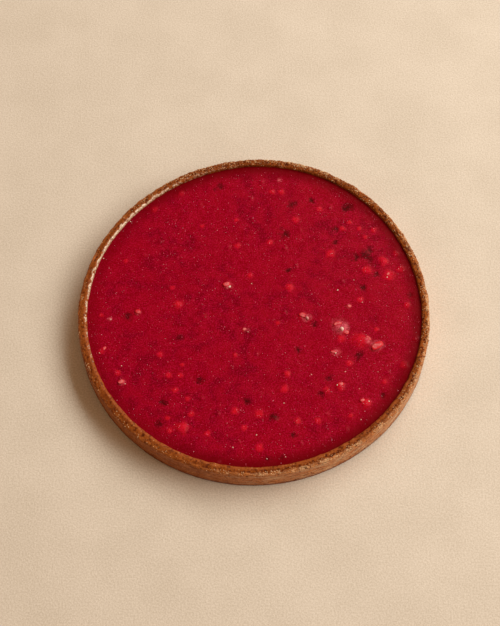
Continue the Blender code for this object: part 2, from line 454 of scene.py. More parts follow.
def shell_section():
    """The corners of the section, from the middle of the inner floor round to the middle of the base."""
    shares = [i / SHOULDER_ROWS for i in range(SHOULDER_ROWS + 1)]
    shoulder = [(FILLING_RADIUS + share * SHOULDER_WIDTH, LEVEL + shoulder_rise(share)) for share in shares]
    return [
        (0.0, DOUGH),
        *arc((FLOOR_RADIUS - CORNER_ROUND, DOUGH + CORNER_ROUND), CORNER_ROUND, -90, -5, 3),
        *shoulder,
        *arc((EDGE_RADIUS, HEIGHT - RIM_ROUND), RIM_ROUND, 90, 10, 6),
        *arc((RIM_RADIUS - FOOT_ROUND, FOOT_ROUND), FOOT_ROUND, 0, -90, 3),
        (0.0, 0.0),
    ]


def rows_to(first, second):
    """Points that cut a straight stretch of the section into rows. A hidden stretch stays whole."""
    if min(first.x, second.x) < FILLING_RADIUS - MM / 2:
        return [second]
    step = RIM_STEP if min(first.y, second.y) >= LEVEL else WALL_STEP
    rows = math.ceil((second - first).length / step)
    return [first.lerp(second, row / rows) for row in range(1, rows + 1)]


def turned_shell():
    corners = [Vector(corner) for corner in shell_section()]
    section = corners[:1]
    for first, second in zip(corners, corners[1:]):
        section += rows_to(first, second)
    work = bmesh.new()
    bmesh.ops.create_grid(work, x_segments=COLUMNS, y_segments=len(section) - 1, size=1.0)
    for index, vertex in enumerate(work.verts):
        row, column = divmod(index, COLUMNS + 1)
        radius, height = section[row]
        angle = math.tau * column / COLUMNS
        vertex.co = (radius * math.cos(angle), radius * math.sin(angle), height)
    bmesh.ops.remove_doubles(work, verts=work.verts, dist=0.01 * MM)
    bmesh.ops.recalc_face_normals(work, faces=work.faces)
    print("shell:", len(section), "rows,", COLUMNS, "columns,", len(work.faces), "faces")
    return work


shell_work = turned_shell()

# %% [markdown]
# Shortcrust breaks rather than cuts. The knife, held against the ring, leaves a rim that leans outward and is
# all crumbs: small rounded grains with dark gaps, a few chips, and a row of pits along its outer edge. No two
# sides are alike. The rim is smoothest on the left and crumbliest on the right, at the far right its crumb
# reaches in over the shoulder, the far rim leans out a little, and at the far left syrup has dried on the
# shoulder in a film with beads. The wall was pressed against metal, so it is smoother, with low streaks that
# run round it. A Displace modifier could do this with textures, but moving the points in code lets every kind
# of relief sit where it belongs. While it moves them, the code also writes down where pits, crumbs, skin and
# syrup are, for the colour to follow.

# %% Roughen the shell
CUT_SLOPE = 0.15 * MM
ROLL_HEIGHT = 0.30 * MM
ROLL_LENGTH = 38.0 * MM
CRUMB_HEIGHT = 0.55 * MM
CRUMB_LENGTH = 4.5 * MM
CHIP_DEPTH = 1.6 * MM
CHIP_LENGTH = 9.0 * MM
CHIP_RARITY = 0.28
STREAK_DEPTH = 0.22 * MM
STREAK_LENGTH = 17.0 * MM
STREAK_HEIGHT = 4.0 * MM
GRAIN_HEIGHT = 0.34 * MM
GRAIN_LENGTH = 1.35 * MM
PIT_DEPTH = 0.7 * MM
PIT_LENGTH = 1.5 * MM
PIT_RARITY = 0.26
WALL_PIT_DEPTH = 0.4 * MM
WALL_PIT_LENGTH = 1.7 * MM
WALL_PIT_RARITY = 0.34
SHOULDER_GRAIN = 0.14 * MM
SYRUP_SMOOTHING = 0.60
PATCH_LENGTH = 14.0 * MM
WOBBLE = 0.40 * MM
WOBBLE_LENGTH = 4.0 * MM
RAGGED_SKIN = 0.9 * MM
SYRUP_EVERYWHERE = 0.30
SYRUP_WIDTH = 1.5 * MM
SYRUP_DROP = 1.5 * MM
SYRUP_BEAD = 0.85 * MM
SYRUP_LAYER = 18
CRUMBLY_EVERYWHERE = 0.15
ROUGH_INWARD = 1.7 * MM
LEAN = 0.6 * MM
FINE_STREAK_DEPTH = 0.18 * MM
FINE_STREAK_LENGTH = 9.0 * MM
FINE_STREAK_HEIGHT = 1.5 * MM
WALL_GRAIN = 0.12 * MM
GRAIN_LAYER = 11
GRAIN_LAYER_STEP = 3.1
GRAIN_STEEPNESS = 2.2

# Each side is its direction, and the cosines between which its own look sets in.
SYRUP_SIDE = (math.radians(148), 0.45, 1.0)
CRUMBLY_SIDE = (math.radians(15), -0.6, 0.1)
ROUGH_SIDE = (math.radians(45), 0.0, 0.6)
LEAN_SIDE = (math.radians(85), 0.2, 0.8)


def rim_relief(place):
    """The rolling height of the knife cut, its crumb, and the chips that broke out of it."""
    roll = bumps(place, ROLL_LENGTH, 1) * ROLL_HEIGHT
    crumb = bumps(place, CRUMB_LENGTH, 2) * CRUMB_HEIGHT
    chip = max(0.0, bumps(place, CHIP_LENGTH, 3) - CHIP_RARITY) * CHIP_DEPTH
    return roll + crumb - chip


def streaks(place, length, height, layer):
    """Noise drawn out round the wall."""
    return bumps(Vector((place.x / length, place.y / length, place.z / height)), 1.0, layer)


def grains(place, length, layer):
    """Rounded crumbs with narrow gaps between them, from -1 in a gap to 1 on a crumb."""
    nearest = noise.voronoi(place / length + Vector((layer, layer, layer)) * GRAIN_LAYER_STEP)[0][0]
    return 1.0 - GRAIN_STEEPNESS * nearest


def pits(place, length, rarity, layer):
    """0 on the sound surface, up to about 1 in the deepest small holes."""
    return min(1.0, max(0.0, bumps(place, length, layer) - rarity) * 2.0)


def syrup(place):
    """How much syrup has dried on the shoulder in this direction: it ran to the far left."""
    return SYRUP_EVERYWHERE + (1 - SYRUP_EVERYWHERE) * towards(place, *SYRUP_SIDE)


def crumbly(place):
    """How crumbly the rim is in this direction: the knife left it smoothest on the left."""
    return CRUMBLY_EVERYWHERE + (1 - CRUMBLY_EVERYWHERE) * towards(place, *CRUMBLY_SIDE)


def rough_inside(place):
    """1 on the side of the tart where the crumb reaches in over the shoulder."""
    return towards(place, *ROUGH_SIDE)


def roughen_rim(place, reach, outward):
    """Move a point above the filling's level. Returns its new place and how deep a pit it lies in."""
    height_share = share_between(place.z, LEVEL, HEIGHT)
    outer_share = share_between(reach, FILLING_RADIUS, RIM_RADIUS)
    cut_share = share_between(reach, LIP_RADIUS, EDGE_RADIUS) * height_share
    edge_share = share_between(reach, EDGE_RADIUS - 1.2 * MM, EDGE_RADIUS)
    torn = share_between(reach + ROUGH_INWARD * rough_inside(place), LIP_RADIUS, EDGE_RADIUS)
    inner_share = 1.0 - share_between(reach, FILLING_RADIUS, LIP_RADIUS)
    calm = 1.0 - SYRUP_SMOOTHING * syrup(place) ** 2
    broken = 0.5 + 0.5 * crumbly(place)
    crumb = grains(place, GRAIN_LENGTH, GRAIN_LAYER)
    hole = pits(place, PIT_LENGTH, PIT_RARITY, 12) * torn**2 * broken
    wet = SHOULDER_GRAIN * (0.55 + 0.45 * bumps(place, PATCH_LENGTH, 15)) * calm
    rough = wet + (GRAIN_HEIGHT * broken - wet) * torn * height_share
    moved = place.copy()
    settled = height_share * (1.0 - inner_share * (1.0 - calm))
    moved.z += (rim_relief(moved) - CUT_SLOPE * cut_share) * settled
    moved += outward * bumps(moved, CRUMB_LENGTH, 5) * CRUMB_HEIGHT * outer_share
    moved += outward * bumps(moved, WOBBLE_LENGTH, 16) * WOBBLE * inner_share
    moved += outward * LEAN * towards(place, *LEAN_SIDE) * outer_share * height_share
    drop = max(0.0, grains(place, SYRUP_DROP, SYRUP_LAYER))
    bead = drop * SYRUP_BEAD * inner_share * height_share * syrup(place)
    moved += (Vector((0.0, 0.0, 1.0)) - outward) * bead
    facing = Vector((outward.x * edge_share, outward.y * edge_share, 1.0)).normalized()
    return moved + facing * (crumb * rough - hole * PIT_DEPTH), hole


def roughen_wall(place, outward):
    """Move a point of the wall: low streaks, fine streaks, a mealy skin and small holes."""
    skin = share_between(place.z, 0.0, FOOT_ROUND)
    slow = streaks(place, STREAK_LENGTH, STREAK_HEIGHT, 4) * STREAK_DEPTH
    fine = streaks(place, FINE_STREAK_LENGTH, FINE_STREAK_HEIGHT, 13) * FINE_STREAK_DEPTH
    hole = pits(Vector((place.x, place.y, place.z * 1.8)), WALL_PIT_LENGTH, WALL_PIT_RARITY, 14)
    mealy = grains(place, GRAIN_LENGTH, GRAIN_LAYER) * WALL_GRAIN
    return place + outward * (slow + fine + mealy - hole * WALL_PIT_DEPTH) * skin, hole


def roughen_shell(work):
    """Roughen every point, and note where the pits, crumbs, shoulder, syrup and skin are."""
    names = ("pit", "crumb", "shoulder", "syrup", "skin")
    pit_layer, crumb_layer, shoulder_layer, syrup_layer, skin_layer = (
        work.verts.layers.float.new(name) for name in names
    )
    for vertex in work.verts:
        place = vertex.co.copy()
        reach = place.xy.length
        outward = Vector((place.x, place.y, 0.0)).normalized()
        moved = hand_shaped(place, 1.0 - share_between(reach, LIP_RADIUS, EDGE_RADIUS))
        if reach < FILLING_RADIUS - MM / 2 or place.z < 0.01 * MM:
            vertex.co = moved
            continue
        ragged = reach + bumps(moved, GRAIN_LENGTH * 2, 17) * RAGGED_SKIN
        vertex[skin_layer] = share_between(ragged, EDGE_RADIUS - 0.1 * MM, EDGE_RADIUS + 0.8 * MM)
        on_shoulder = 1.0 - share_between(reach, LIP_RADIUS - 0.5 * MM, LIP_RADIUS + 0.5 * MM)
        on_shoulder *= 1.0 - 0.8 * rough_inside(place)
        vertex[shoulder_layer] = on_shoulder * share_between(place.z, LEVEL, LEVEL + MM)
        film = 1.0 - share_between(ragged - FILLING_RADIUS, SYRUP_WIDTH - 0.4 * MM, SYRUP_WIDTH)
        drops = share_between(grains(moved, SYRUP_DROP, SYRUP_LAYER) + 2.4 * syrup(place), 1.6, 1.95)
        vertex[syrup_layer] = vertex[shoulder_layer] * film * drops
        crumb_reach = reach + ROUGH_INWARD * rough_inside(place)
        on_cut = share_between(crumb_reach, LIP_RADIUS, EDGE_RADIUS - 0.6 * MM)
        # the crumb layer marks the gaps between crumbs, which the dough colour darkens as painted shade
        gappy = 0.62 + 0.38 * on_cut * crumbly(place)
        vertex[crumb_layer] = 0.6 + (0.5 * grains(moved, GRAIN_LENGTH, GRAIN_LAYER) - 0.1) * gappy
        if place.z > LEVEL:
            vertex.co, vertex[pit_layer] = roughen_rim(moved, reach, outward)
        else:
            vertex.co, vertex[pit_layer] = roughen_wall(moved, outward)


def finished_piece(name, work, material, smooth=True):
    """Turn a bmesh into an object at the origin with one material."""
    mesh = bpy.data.meshes.new(name)
    work.to_mesh(mesh)
    work.free()
    mesh.materials.append(material)
    if smooth:
        mesh.shade_smooth()
    piece = bpy.data.objects.new(name, mesh)
    bpy.context.scene.collection.objects.link(piece)
    print(name + ":", len(mesh.polygons), "faces")
    return piece


roughen_shell(shell_work)

# %% [markdown]
# Baked shortcrust is never one brown. It is golden where it was thick and darker where it was thin, and pale
# where a crumb of butter or sugar shows. Its pits and the gaps between its crumbs are painted nearly
# black-brown, as painted shade in the hollows. The rim is the colour of honey at the right. The wall has a
# tight skin that shines like satin, since it baked against buttered metal, with a few scorched streaks. Its
# foot is the reddest: browned on the hot tray, and darker still with painted shade where it meets the table.
# On the near right the wall is painted paler, with beige streaks: a painted sheen of the lamp and the lit
# table on the satin skin. On the inner shoulder a film of syrup has dried, most of all at the far left, and
# shines too; its cream colour is the dried syrup's, lightened as a painted highlight where the lamp's
# reflection falls. The colours could be painted by hand, but masks that follow the relief and the direction
# fit every crumb and pit without a brush. The shine is a clear coat over the dough.

# %% The baked dough
DOUGH_GOLD = (0.370, 0.096, 0.013, 1.0)
DOUGH_BROWN = (0.185, 0.037, 0.0035, 1.0)
# dark specks of the dough, also used as painted shade in its pits and gaps
DOUGH_DARK_AND_SHADE = (0.085, 0.0090, 0.0006, 1.0)
DOUGH_PALE = (0.640, 0.350, 0.150, 1.0)
DOUGH_HONEY = (0.540, 0.145, 0.020, 1.0)
WALL_TAN = (0.530, 0.168, 0.035, 1.0)
WALL_BROWN = (0.240, 0.051, 0.007, 1.0)
# wall colours of the painted sheen on the near right
WALL_PAINTED_SHEEN = (0.720, 0.305, 0.112, 1.0)
WALL_PAINTED_SHEEN_DEEP = (0.540, 0.175, 0.046, 1.0)
WALL_SHEEN_STREAK = (0.820, 0.540, 0.320, 1.0)
# reddest at the foot: browning from the hot tray, and painted shade where it meets the table
FOOT_RED_AND_SHADE = (0.150, 0.018, 0.002, 1.0)
SHOULDER_GOLD = (0.430, 0.114, 0.027, 1.0)
# cream of the dried syrup, lightened as a painted highlight
SHOULDER_CREAM_AND_HIGHLIGHT = (0.860, 0.720, 0.560, 1.0)
PAINTED_SHEEN_TOWARDS = math.radians(325)
HONEY_TOWARDS = math.radians(15)
WALL_SQUASH = (1.0, 1.0, 5.0)


def far_along(tree, place, direction):
    """How far a point lies in this direction: 1 at that side of the rim, 0 in the middle, -1 opposite."""
    facing = add_node(tree, "ShaderNodeVectorMath", operation="DOT_PRODUCT")
    axis = (math.cos(direction) / RIM_RADIUS, math.sin(direction) / RIM_RADIUS, 0.0)
    plug_all(tree, {0: place, 1: axis}, facing)
    return facing.outputs["Value"]


def make_dough():
    material, tree, shader, place = new_material("baked_dough_fine")
    height = add_node(tree, "ShaderNodeSeparateXYZ", {"Vector": place}).outputs["Z"]
    drawn_out = add_node(tree, "ShaderNodeMapping", {"Vector": place, "Scale": WALL_SQUASH}).outputs[0]
    skin, shoulder, syrup_film = (attribute(tree, name) for name in ("skin", "shoulder", "syrup"))
    # the syrup film, whose cream colour is also a painted highlight
    film_and_painted_highlight = product(tree, syrup_film, 0.8)

    baked = tone(tree, place, 16 * MM, 3.0, 0.4)
    mealy = tone(tree, place, 1.1 * MM, 2.0, 0.3)
    rim_tone = layered(tree, baked, (0.5, mealy))
    honey_side = remap(tree, far_along(tree, place, HONEY_TOWARDS), 0.6, 1.0, 0.0, 0.40)
    rim_colour = layered(tree, DOUGH_BROWN, (rim_tone, DOUGH_GOLD), (honey_side, DOUGH_HONEY))

    streak = tone(tree, drawn_out, 8 * MM, 4.0, 0.25)
    # beige streaks: painted sheen of the lamp and the lit table on the satin skin
    painted_sheen_streaks = remap(tree, tone(tree, drawn_out, 9 * MM, 3.0, 0.36), 0.40, 0.95, 0.0, 0.70)
    scorched = remap(tree, tone(tree, drawn_out, 5 * MM, 3.0, 0.35), 0.42, 0.0, 0.0, 0.55)
    wall_tone = layered(tree, baked, (0.7, streak), (0.30, mealy))
    painted_sheen_wall = layered(tree, WALL_PAINTED_SHEEN_DEEP, (wall_tone, WALL_PAINTED_SHEEN), (painted_sheen_streaks, WALL_SHEEN_STREAK))
    painted_sheen_side = remap(tree, far_along(tree, place, PAINTED_SHEEN_TOWARDS), 0.15, 0.9)
    wall_colour = layered(
        tree, WALL_BROWN,
        (wall_tone, WALL_TAN),
        # the near-right wall painted paler: painted sheen
        (painted_sheen_side, painted_sheen_wall),
        (scorched, DOUGH_BROWN),
        # the foot: browned on the tray, and painted shade where it meets the table
        (remap(tree, height, 4.5 * MM, 0.8 * MM, 0.0, 0.9), FOOT_RED_AND_SHADE),
    )

    dark = effect(tree, "dots", Place=place, Spacing=1.5 * MM, Share=0.35, Dot=0.42)
    dark_share = product(tree, dark, remap(tree, shoulder, 0.0, 1.0, 0.4, 0.0))
    pale = effect(tree, "dots", Place=place, Spacing=1.7 * MM, Share=0.18, Dot=0.34)
    covered = combine(tree, "MAXIMUM", product(tree, skin, 0.78), film_and_painted_highlight)
    # gaps between crumbs darkened: painted shade
    painted_gap_shade = remap(tree, attribute(tree, "crumb"), 0.55, 0.2, 0.0, 0.9)
    colour = layered(
        tree, rim_colour,
        (skin, wall_colour),
        (product(tree, shoulder, 0.6), SHOULDER_GOLD),
        # cream of the dried syrup, lightened as a painted highlight where the lamp's reflection falls
        (film_and_painted_highlight, SHOULDER_CREAM_AND_HIGHLIGHT),
        (dark_share, DOUGH_DARK_AND_SHADE),
        (product(tree, pale, 0.6), DOUGH_PALE),
        # painted shade in the gaps between crumbs
        (product(tree, painted_gap_shade, combine(tree, "SUBTRACT", 1.0, covered)), DOUGH_DARK_AND_SHADE),
        # pits darkened by their depth: painted shade
        (remap(tree, attribute(tree, "pit"), 0.05, 0.5, 0.0, 0.8), DOUGH_DARK_AND_SHADE),
    )

    dry = combine(tree, "SUBTRACT", 0.72, product(tree, skin, 0.2))
    satin = product(tree, remap(tree, streak, 0.2, 0.8, 0.04, 0.2), skin)
    grain = effect(tree, "grain", Place=place, Size=0.8 * MM)
    grain = product(tree, grain, combine(tree, "SUBTRACT", 1.0, film_and_painted_highlight))
    plug_all(tree, {
        "Base Color": colour,
        "Roughness": combine(tree, "SUBTRACT", dry, product(tree, shoulder, 0.3)),
        "Specular IOR Level": 0.12,
        "Coat Weight": combine(tree, "MAXIMUM", satin, syrup_film),
        "Coat Roughness": 0.15,
        "Coat IOR": 1.65,
        "Normal": grain_normal(tree, grain, 0.20 * MM),
    }, shader)
    return material


crust_shell = finished_piece("crust_shell", shell_work, make_dough())
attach(crust_shell, "root")
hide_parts("crust")

# %% [markdown]
# The filling's surface is a thick skin that rolls a little, creeps up the shoulder, and is pushed up by the
# lumps of almond just under it. The lumps follow the same list and the same seeded draw as the solid's, so
# that both agree. Smaller bits only colour the skin: some glow bright red, some are dark, and a few large
# ones stand out pink, where the almond shows through a thin film. Their places are listed, in millimetres
# from the middle of the tart.

# %% What lies in the filling
WAVE_HEIGHT = 0.18 * MM
WAVE_LENGTH = 32.0 * MM
CALM_WIDTH = 12.0 * MM
MENISCUS_RISE = 0.15 * MM
MENISCUS_WIDTH = 1.5 * MM
# Each lump is its place x and y, its length, width and height in mm, and its turn in degrees.
PLAIN_LUMPS = (
    (-18, 19, 7, 6, 1.0, 0),
    (36, -4, 7, 5, 0.9, -20),
    (59, -13, 11, 8, 1.2, -15),
    (73, -22, 12, 8, 1.0, -5),
    (84, -26, 9, 5, 1.1, 30),
    (-48, -86, 9, 8, 1.1, 0),
    (57, -56, 7, 5, 0.9, 10),
    (74, -68, 7, 6, 0.9, 40),
    (-5, -15, 4, 4, 0.7, 0),
    (-80, -1, 4, 4, 0.7, 0),
    (-89, -53, 5, 4, 0.7, 50),
    (56, -31, 6, 4, 0.8, -10),
    (-53, 5, 6, 6, 0.5, 0),
    (90, 39, 6, 5, 0.6, 20),
    (24, 18, 6, 5, 0.5, 60),
    (13, -80, 7, 6, 0.6, -30),
    (77, 45, 9, 6, 0.5, 15),
)
MORE_LUMPS = 27
LUMP_SEED = 24
LUMP_LENGTHS = (3.0 * MM, 5.5 * MM)
LUMP_SLIMNESS = (0.7, 1.0)
LUMP_HEIGHTS = (0.35 * MM, 0.65 * MM)
LUMP_CLEARANCE = 12.0 * MM
LUMP_REACH = 0.93
LUMP_SINK = 1.6

# Each bit is its place x and y and its width, in mm. The nibs are bits that poke out of the skin.
PINK_BITS = (
    (-18.5, 19.5, 5), (35, -4.5, 6), (59, -12, 10), (83, -26, 7.5), (-6, -14, 3), (-80, -1, 3.5),
    (-89, -53, 4), (-99, -6, 3), (55, -31, 5), (18, 105, 3), (-23, -110, 3), (77, -22, 4), (65, 4, 3),
)
# Each almond is a sliver that breaks the skin: its place, its length and width in mm, and its turn.
ALMONDS = (
    (33.3, -3.2, 4.8, 2.6, -15), (57.0, -9.8, 4.8, 2.6, 10), (83.2, -26.3, 7.5, 4.0, 30),
    (77.7, -20.7, 3.8, 1.7, -50), (-19.3, 20.3, 4.4, 2.8, 10), (-6.7, -13.9, 2.6, 2.0, 0),
    (-79.9, -0.6, 3.3, 2.7, 0), (-89.5, -53.0, 3.4, 2.4, 20), (65.4, 3.9, 2.5, 2.0, 0),
    (-101.8, -28.1, 2.5, 1.9, 40), (62.4, -15.8, 4.4, 2.6, -35), (53.6, -30.9, 3.4, 1.6, -10),
    (93.0, 28.6, 2.6, 1.7, 60), (72.0, -66.5, 3.0, 2.0, 25), (58.0, -54.8, 3.2, 2.2, 0),
)
NIBS = (
    (36.2, -5.4, 3.2), (59.7, -13.9, 3.8), (-17.2, 18.6, 2.5), (55.0, -31.7, 1.5), (1.4, -90.9, 1.4),
    (-14.1, -99.7, 1.2), (8.2, -107.6, 1.2), (20.4, -106.3, 1.1), (19.7, -68.2, 1.2), (38.4, -47.4, 1.1),
    (70.3, -57.8, 1.1), (70.8, -79.9, 1.1), (76.3, -67.1, 1.4), (55.5, -55.4, 1.2), (58.5, -55.4, 1.2),
    (57.6, 16.4, 1.5), (92.2, 26.3, 1.2), (61.2, -45.3, 1.4), (83.2, -45.3, 1.1), (45.7, -6.8, 1.1),
    (74.3, 6.9, 1.2), (69.0, 24.2, 1.1), (-87.7, 70.8, 1.1), (-105.5, 41.1, 1.1), (-2.0, 21.4, 0.9),
    (-98.5, -6.2, 1.4), (-86.8, -54.2, 1.4), (-4.4, -15.8, 1.2), (-89.7, -41.0, 1.1), (-105.0, -31.5, 1.1),
)
RED_BITS = (
    (72, -22, 10), (-48, -86, 8), (-53, 5, 6), (-31, -90, 4), (-56, -88, 4), (-58, -48, 4), (57, -56, 6),
    (74, -68, 6), (90, 39, 6), (24, 18, 6), (13, 95, 4), (-13, -74, 5), (3, -76, 5), (101, -41, 5),
    (20, -58, 5), (105, 5, 4), (84, 64, 4), (110, -21, 4), (99, 45, 4), (62, 65, 4), (-58, -79, 3),
    (-50, -48, 4), (-64, -33, 4), (-13, -33, 3), (-53, -59, 4), (-42, -76, 4), (-45, -65, 3), (-49, -40, 3),
    (-7, -86, 4), (3, -100, 5), (22, -47, 4), (48, -59, 4), (64, -77, 3), (42, -81, 4), (29, -81, 4),
    (64, -39, 4), (59, -21, 5), (83, -14, 3), (87, -53, 3), (78, 32, 6), (102, 33, 5), (93, 28, 7),
    (74, 65, 3), (67, 70, 3), (78, 58, 3), (53, 45, 6), (46, 81, 4), (29, 72, 5), (19, 95, 4), (11, 54, 4),
    (73, 9, 4), (-52, 94, 4), (-71, 81, 4), (-90, 39, 3), (-37, 67, 3), (-13, 72, 3), (-12, 51, 4),
    (-3, 28, 4), (-57, 18, 3), (-105, -3, 3), (-92, -46, 4), (-104, -30, 4), (16, -9, 3),
)
DARK_BITS = (
    (-24, 99, 6), (-37, -51, 6), (-5, -67, 6), (13, -78, 7), (77, 44, 9), (58, 65, 5), (27, 85, 6),
    (72, 42, 5), (81, 47, 5), (22, 61, 6), (67, 83, 9), (45, -61, 5), (30, -29, 4), (71, -33, 5),
    (41, -10, 4), (108, 13, 4), (57, 54, 4), (41, 88, 4), (75, 18, 5), (9, -108, 4), (18, -107, 4),
    (-61, -68, 5), (-51, -20, 5), (50, -50, 5), (-63, -83, 5), (85, 29, 4), (26, -91, 4), (86, -62, 5),
    (-87, -4, 5), (24, 32, 4),
)


def wave_height(place):
    """The slow roll of a thick filling that has set, dying out where it meets the wall."""
    flat = Vector((place.x, place.y, 0.0))
    share = share_between(FILLING_RADIUS - flat.length, 0.0, CALM_WIDTH)
    return bumps(flat, WAVE_LENGTH, 6) * WAVE_HEIGHT * share


def almond_lumps():
    """The lumps that are listed, then smaller ones scattered evenly in the room between them."""
    chance = random.Random(LUMP_SEED)
    lumps = [(*(size * MM for size in sizes), turn) for *sizes, turn in PLAIN_LUMPS]
    while len(lumps) < len(PLAIN_LUMPS) + MORE_LUMPS:
        reach = FILLING_RADIUS * LUMP_REACH * math.sqrt(chance.random())
        angle = chance.uniform(0, 2 * math.pi)
        x = reach * math.cos(angle)
        y = reach * math.sin(angle)
        length = chance.uniform(*LUMP_LENGTHS)
        width = length * chance.uniform(*LUMP_SLIMNESS)
        height = chance.uniform(*LUMP_HEIGHTS)
        turn = chance.uniform(0, 180)
        if all(math.hypot(x - lump[0], y - lump[1]) > LUMP_CLEARANCE for lump in lumps):
            lumps.append((x, y, length, width, height, turn))
    return lumps


LUMPS = almond_lumps()
print(len(LUMPS), "lumps,", len(PINK_BITS), "pink bits,", len(RED_BITS), "red,", len(DARK_BITS), "dark")

# %% [markdown]
# A turned disc would have long thin faces at its edge and a knot of them in the middle, where the bits show
# best. A square grid has even faces, so this disc is a grid whose square rings are moved onto round ones.
# Its top is then raised point by point. The border edges are extruded down and drawn in to make the side,
# and one face closes the bottom. The side reaches just into the dough, so that no gap shows.

# %% Model the filling
GRID_SEGMENTS = 304
BITE = 0.6 * MM
GAP = 0.3 * MM
SKIN_ROUGHNESS = 0.035 * MM
SKIN_LENGTH = 2.0 * MM
SLOW_SKIN = 0.6
SLOW_SKIN_LENGTH = SKIN_LENGTH * 2.7
SKIN_GRAIN = 0.05 * MM
SKIN_SEED = 7
LUMP_BLEND = 0.25 * MM
BIT_SPREAD = 1.2
BIT_FADES_AT = 1.25
BIT_REACH = 1.8
BIT_RAG_LENGTH = 0.9


def square_to_disc(a, b):
    """Where a point of the square from -1 to 1 goes, when each square ring becomes a round one."""
    if abs(a) > abs(b):
        return a * math.cos(math.pi / 4 * b / a), a * math.sin(math.pi / 4 * b / a)
    if b == 0:
        return 0.0, 0.0
    return b * math.sin(math.pi / 4 * a / b), b * math.cos(math.pi / 4 * a / b)


def lump_height(lump, place):
    """How high the lump's rounded top stands over the filling here, or None away from it."""
    x, y, length, width, height, turn = lump
    depth = height * (1 + LUMP_SINK)
    waterline = math.sqrt(1 - (LUMP_SINK / (1 + LUMP_SINK)) ** 2)
    offset = Matrix.Rotation(-math.radians(turn), 2) @ Vector((place.x - x, place.y - y))
    inside = 1 - (offset.x / (length / 2 / waterline)) ** 2 - (offset.y / (width / 2 / waterline)) ** 2
    if inside <= 0:
        return None
    return height - depth + depth * math.sqrt(inside)


def soft_greater(first, second, width):
    """The greater of two heights, with the corner between them rounded over this width."""
    near = max(0.0, width - abs(first - second)) / width
    return max(first, second) + near * near * width / 4


def filling_disc():
    """The flat grid, moved onto the hand-shaped disc, at the level of the filling."""
    work = bmesh.new()
    bmesh.ops.create_grid(work, x_segments=GRID_SEGMENTS, y_segments=GRID_SEGMENTS, size=1.0)
    edge = FILLING_RADIUS + BITE
    for vertex in work.verts:
        x, y = square_to_disc(vertex.co.x, vertex.co.y)
        turned = Vector((x * edge, y * edge, LEVEL))
        vertex.co = hand_shaped(turned, turned.xy.length / FILLING_RADIUS)
    return work


def near_points(work):
    """A tree that finds the grid's points near a place quickly."""
    tree = kdtree.KDTree(len(work.verts))
    for index, vertex in enumerate(work.verts):
        tree.insert((vertex.co.x, vertex.co.y, 0.0), index)
    tree.balance()
    work.verts.ensure_lookup_table()
    return tree


def edge_distance(place):
    """How far inside the wall a point of the filling lies."""
    flat = place.xy - INSIDE_SHIFT.xy
    return FILLING_RADIUS + out_of_round(math.atan2(flat.y, flat.x)) - flat.length


def raise_top(work, tree):
    """Add the roll, the rise at the wall, the lumps and the skin's own small unevenness."""
    inward_layer = work.verts.layers.float.new("inward")
    chance = random.Random(SKIN_SEED)
    for vertex in work.verts:
        inward = edge_distance(vertex.co)
        vertex[inward_layer] = inward
        climb = share_between(MENISCUS_WIDTH - inward, 0.0, MENISCUS_WIDTH)
        skin = bumps(vertex.co, SKIN_LENGTH, 21) + SLOW_SKIN * bumps(vertex.co, SLOW_SKIN_LENGTH, 22)
        grain = chance.uniform(-SKIN_GRAIN, SKIN_GRAIN)
        level = LEVEL + wave_height(vertex.co) + MENISCUS_RISE * climb**2
        vertex.co.z = level + SKIN_ROUGHNESS * skin + grain
    for lump in LUMPS:
        level = LEVEL + wave_height(Vector((lump[0], lump[1], 0.0)))
        for _, index, _ in tree.find_range((lump[0], lump[1], 0.0), lump[2]):
            vertex = work.verts[index]
            height = lump_height(lump, vertex.co)
            if height is not None:
                vertex.co.z = soft_greater(vertex.co.z, level + height, LUMP_BLEND)


def colour_bits(work, tree, layer_name, bits, swelling, layer_number, core, raggedness):
    """Mark soft-edged bits in a layer for the colour, and let each swell the skin a little.

    A bit is full out to the share core of its radius, and raggedness is how uneven its edge is.
    """
    layer = work.verts.layers.float.new(layer_name)
    for x, y, width in bits:
        middle = Vector((x * MM, y * MM, 0.0))
        radius = width * MM / 2 * BIT_SPREAD
        for _, index, distance in tree.find_range(middle, radius * BIT_REACH):
            vertex = work.verts[index]
            ragged = 1 + raggedness * bumps(vertex.co, radius * BIT_RAG_LENGTH, layer_number)
            share = 1 - share_between(distance * ragged / radius, core, BIT_FADES_AT)
            share = share * share * (3 - 2 * share)
            vertex[layer] = max(vertex[layer], share)
            vertex.co.z += swelling * share


def close_below(work):
    """Extrude the border down the wall to the shell's floor and close it."""
    border = [edge for edge in work.edges if edge.is_boundary]
    depths = (LEVEL - DOUGH - GAP - CORNER_ROUND, CORNER_ROUND)
    draws = (WALL_DRAFT + GAP, CORNER_ROUND)
    for depth, draw in zip(depths, draws):
        made = bmesh.ops.extrude_edge_only(work, edges=border)["geom"]
        below = [item for item in made if isinstance(item, bmesh.types.BMVert)]
        border = [item for item in made if isinstance(item, bmesh.types.BMEdge) and item.is_boundary]
        bottom = min(vertex.co.z for vertex in below)
        for vertex in below:
            vertex.co.z = min(vertex.co.z, bottom) - depth
            vertex.co.xy -= vertex.co.xy.normalized() * draw
    bmesh.ops.edgeloop_fill(work, edges=border)
    bmesh.ops.recalc_face_normals(work, faces=work.faces)


# Round each almond a painted glow, of light that passes through the toffee, shifted to the side away from the
# lamp.
painted_almond_glows = [(x - 0.2 * length, y - 0.1 * length, 0.8 * length) for x, y, length, _, _ in ALMONDS]
